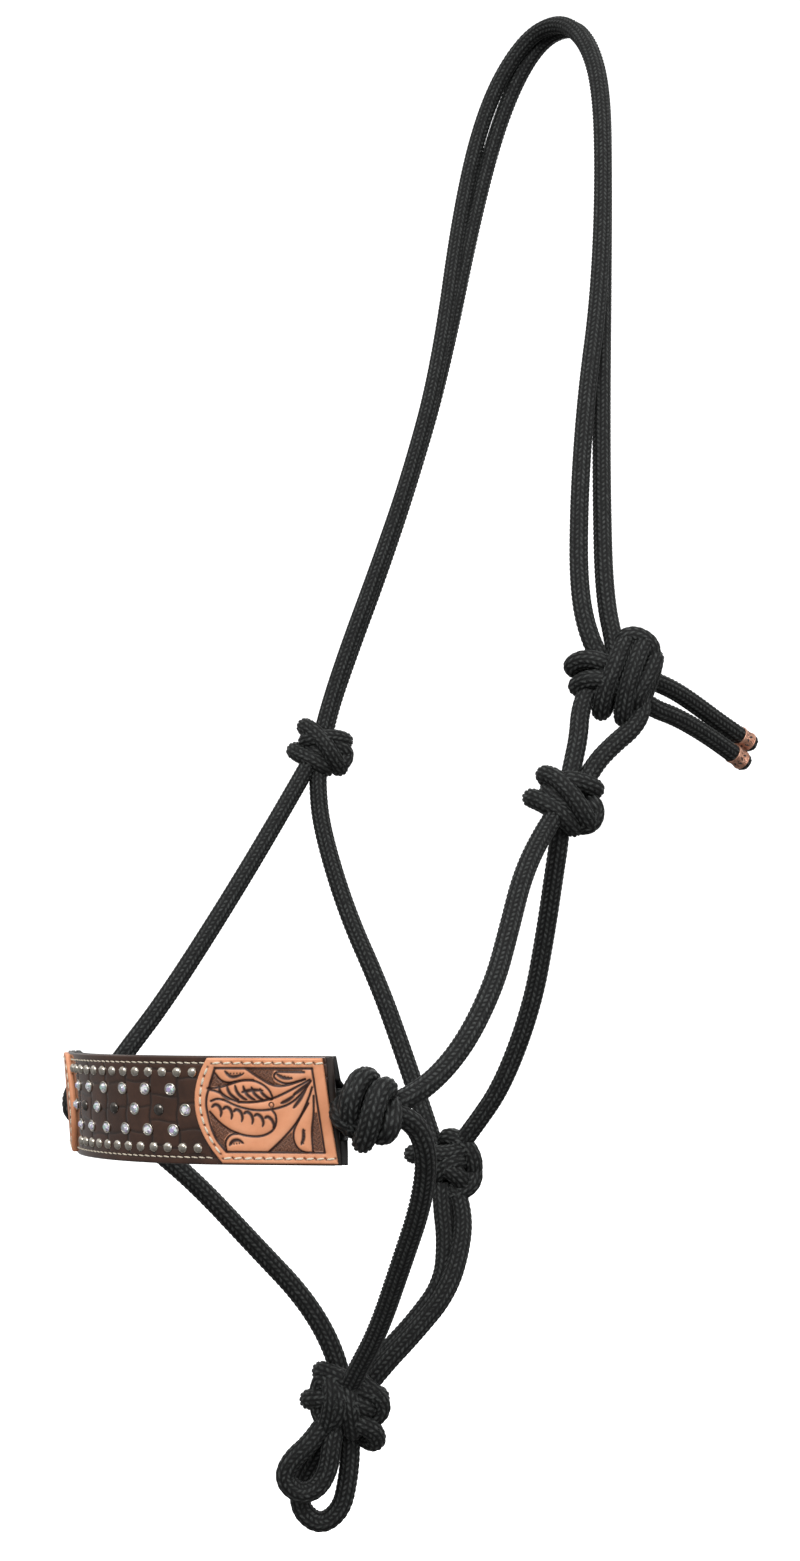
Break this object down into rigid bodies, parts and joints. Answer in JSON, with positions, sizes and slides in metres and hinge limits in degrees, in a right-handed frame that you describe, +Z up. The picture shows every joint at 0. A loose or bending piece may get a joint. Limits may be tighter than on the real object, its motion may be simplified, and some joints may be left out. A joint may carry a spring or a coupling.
{
  "type": "rope halter",
  "caption": "Knotted rope halter for a horse, with a leather-covered noseband tooled at both ends and set with domed spots and crystals.",
  "frame": {"origin": "underside of the crown's top, midway between its two strands, where it rests on the horse's poll", "axes": "+Z up, -X towards the horse's nose, -Y the near side, where the crown ties"},
  "size_m": [0.3713, 0.2627, 0.9173],
  "materials": {
    "rope": "tight solid braid, satin",
    "base_leather": "smooth, burnished edge",
    "crocodile_leather": "glossy crocodile emboss",
    "lining_leather": "soft, matte",
    "tooled_leather": "hand tooled, light tan with dark dyed ground",
    "thread": "waxed cream thread",
    "nickel": "polished nickel",
    "dark_nickel": "dark polished nickel",
    "crystal": "clear cut crystal",
    "copper_whipping": "satin copper"
  },
  "bodies": {
    "crown": {"crown_strand_front": "rope", "crown_strand_rear": "rope", "crown_tie_knot": "rope", "tie_loop_front": "rope", "tie_loop_rear": "rope"},
    "cheeks": {"far_cheek_knot": "rope", "near_cheek_knot": "rope", "far_cheek_rope": "rope", "near_cheek_rope": "rope", "far_nose_knot": "rope", "near_nose_knot": "rope", "nose_rope_upper": "rope", "nose_rope_lower": "rope", "noseband_base": "base_leather", "noseband_overlay": "crocodile_leather", "noseband_lining": "lining_leather", "near_tooled_plate": "tooled_leather", "far_tooled_plate": "tooled_leather", "near_plate_thread": "thread", "far_plate_thread": "thread", "edge_thread_top": "thread", "edge_thread_bottom": "thread", "top_spots": "nickel", "bottom_spots": "nickel", "dark_spots": "dark_nickel", "crystals_upper": "crystal", "crystals_middle": "crystal", "crystals_lower": "crystal", "crystal_settings_upper": "nickel", "crystal_settings_middle": "nickel", "crystal_settings_lower": "nickel"},
    "chin": {"near_chin_rope": "rope", "far_chin_rope": "rope", "fiador_knot": "rope"},
    "throat": {"near_throat_rope": "rope", "far_throat_rope": "rope", "throat_knot": "rope"},
    "throat_drop": {"drop_strand_front": "rope", "drop_strand_rear": "rope"},
    "lead_loop": {"lead_loop_outer": "rope", "lead_loop_inner": "rope"},
    "tail": {"tail_strand_upper": "rope", "tail_strand_lower": "rope", "tail_whipping_upper": "copper_whipping", "tail_whipping_lower": "copper_whipping"}
  },
  "joints": [
    {"name": "cheeks_swing", "type": "hinge", "parent": "crown", "child": "cheeks", "pos_m": [-0.128, -0.005, -0.499], "axis": [0.0102, 0.9719, 0.2353], "range_deg": [-45, 45]},
    {"name": "chin_swing", "type": "hinge", "parent": "cheeks", "child": "chin", "pos_m": [-0.287, -0.001, -0.682], "axis": [0.054, 0.9985, 0], "range_deg": [-12, 12]},
    {"name": "throat_swing", "type": "hinge", "parent": "cheeks", "child": "throat", "pos_m": [-0.128, -0.005, -0.499], "axis": [0.0102, 0.9719, 0.2353], "range_deg": [-16, 16]},
    {"name": "throat_drop_swing", "type": "hinge", "parent": "throat", "child": "throat_drop", "pos_m": [-0.122, -0.006, -0.722], "axis": [0, 1, 0], "range_deg": [-30, 30]},
    {"name": "lead_loop_swing", "type": "hinge", "parent": "chin", "child": "lead_loop", "pos_m": [-0.196, 0, -0.841], "axis": [0, 1, 0], "range_deg": [-45, 45]},
    {"name": "tail_swing", "type": "hinge", "parent": "crown", "child": "tail", "pos_m": [-0.097, -0.112, -0.452], "axis": [0, 1, 0], "range_deg": [-30, 30]}
  ],
  "couplings": [
    {"joint": "throat_swing", "follows": "chin_swing", "ratio": 1.31},
    {"joint": "throat_drop_swing", "follows": "chin_swing", "ratio": -2.43}
  ]
}
